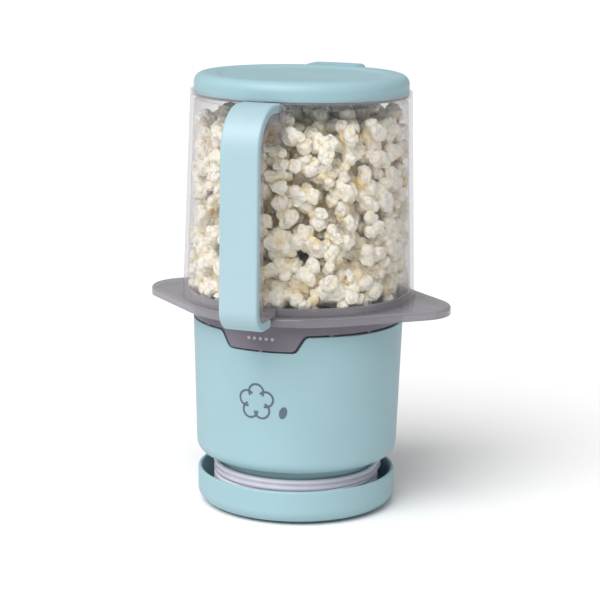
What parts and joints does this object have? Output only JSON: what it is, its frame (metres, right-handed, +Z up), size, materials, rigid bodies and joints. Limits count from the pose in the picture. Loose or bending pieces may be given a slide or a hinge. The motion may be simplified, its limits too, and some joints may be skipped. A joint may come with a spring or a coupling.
{
  "type": "popcorn maker",
  "caption": "Hot-air popcorn maker: blower base with cord store, lift-off catch plate, clear handled bowl and push-on lid.",
  "frame": {"origin": "on the body's vertical axis, on the plane the feet stand on", "axes": "+Z up; the bowl's handle and the name panel face -Y; the lid's tab points +Y; the catch plate's grip ears lie along X"},
  "size_m": [0.208, 0.1884, 0.2882],
  "materials": {
    "blue_plastic": "satin",
    "rubber": "matt",
    "cord_grey": "satin",
    "seal_grey": "matt",
    "brass": "satin",
    "dark_plastic": "matt",
    "collar_grey": "satin",
    "mica": "matt",
    "aluminium": "satin",
    "steel": "satin",
    "ferrite": "matt",
    "board": "matt",
    "wire": "satin",
    "smoky_plastic": "gloss",
    "clear_plastic": "gloss"
  },
  "bodies": {
    "base": {"base_tray": "blue_plastic", "rubber_feet": "rubber", "cord_spool": "blue_plastic", "strain_relief": "cord_grey", "power_cord_coil": "cord_grey", "power_cord_tail": "cord_grey", "plug_body": "cord_grey", "plug_prongs": "brass", "base_shell": "blue_plastic", "top_collar": "collar_grey", "chamber_insulator": "mica", "popping_chamber": "aluminium", "heater_cup": "steel", "heater_coil": "steel", "mica_frame": "mica", "fan_housing": "dark_plastic", "motor_can": "steel", "motor_magnets": "ferrite", "motor_end_cap": "dark_plastic", "motor_bushes": "brass", "rectifier_board": "board", "rectifier_diodes": "ferrite", "thermostat": "dark_plastic", "thermal_fuse": "aluminium", "internal_wires": "wire", "tray_screws": "steel", "collar_screws": "steel", "motor_screws": "steel"},
    "fan_rotor": {"fan_impeller": "dark_plastic", "motor_shaft": "steel", "motor_armature": "steel"},
    "catch_plate": {"chute_plate": "smoky_plastic", "chute_tube": "smoky_plastic"},
    "bowl": {"bowl": "clear_plastic", "handle_core": "clear_plastic", "handle_cover": "blue_plastic"},
    "lid": {"lid": "blue_plastic", "lid_gasket": "seal_grey"}
  },
  "joints": [
    {"name": "fan_spin", "type": "hinge", "parent": "base", "child": "fan_rotor", "pos_m": [0, 0, 0.048], "axis": [0, 0, 1], "continuous": true},
    {"name": "plate_lift", "type": "slide", "parent": "base", "child": "catch_plate", "axis": [0, 0, 1], "range_m": [0, 0.04]},
    {"name": "bowl_lift", "type": "slide", "parent": "catch_plate", "child": "bowl", "axis": [0, 0, 1], "range_m": [0, 0.06]},
    {"name": "lid_lift", "type": "slide", "parent": "bowl", "child": "lid", "axis": [0, 0, 1], "range_m": [0, 0.08]}
  ]
}
